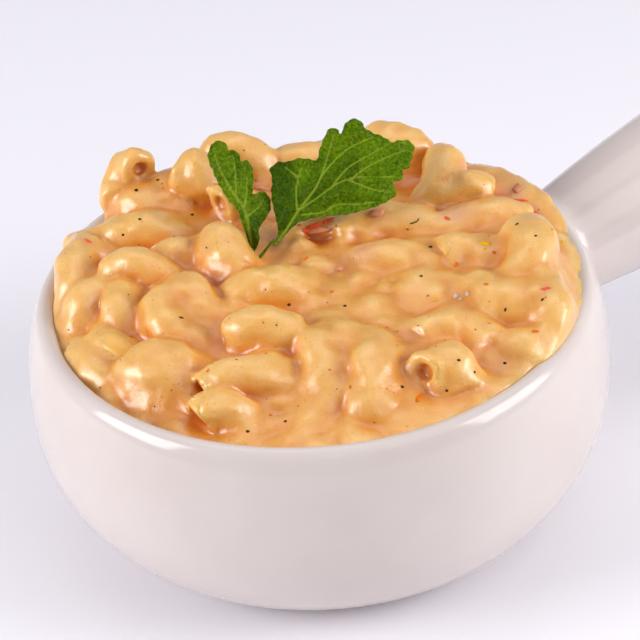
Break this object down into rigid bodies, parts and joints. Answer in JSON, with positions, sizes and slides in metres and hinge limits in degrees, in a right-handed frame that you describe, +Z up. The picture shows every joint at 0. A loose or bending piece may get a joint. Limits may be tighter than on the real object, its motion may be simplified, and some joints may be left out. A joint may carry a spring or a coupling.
{
  "type": "mac and cheese in a handled crock",
  "caption": "Sauced elbow macaroni heaped in a round white glazed crock with a stick handle, garnished with parsley leaves.",
  "frame": {"origin": "centre of the crock's flat base, on the surface that it stands on", "axes": "+Z up, +X along the handle as seen from above, +Y to the left of the handle"},
  "size_m": [0.1942, 0.13, 0.0859],
  "materials": {
    "white_glaze": "warm white gloss glaze",
    "cheese_sauce": "moist, softly glossy cheese sauce",
    "parsley": "fresh leaf, waxy sheen"
  },
  "bodies": {
    "root": {"bowl": "white_glaze", "mac_and_cheese": "cheese_sauce", "parsley_leaf_right": "parsley", "parsley_leaf_left": "parsley"}
  },
  "joints": []
}
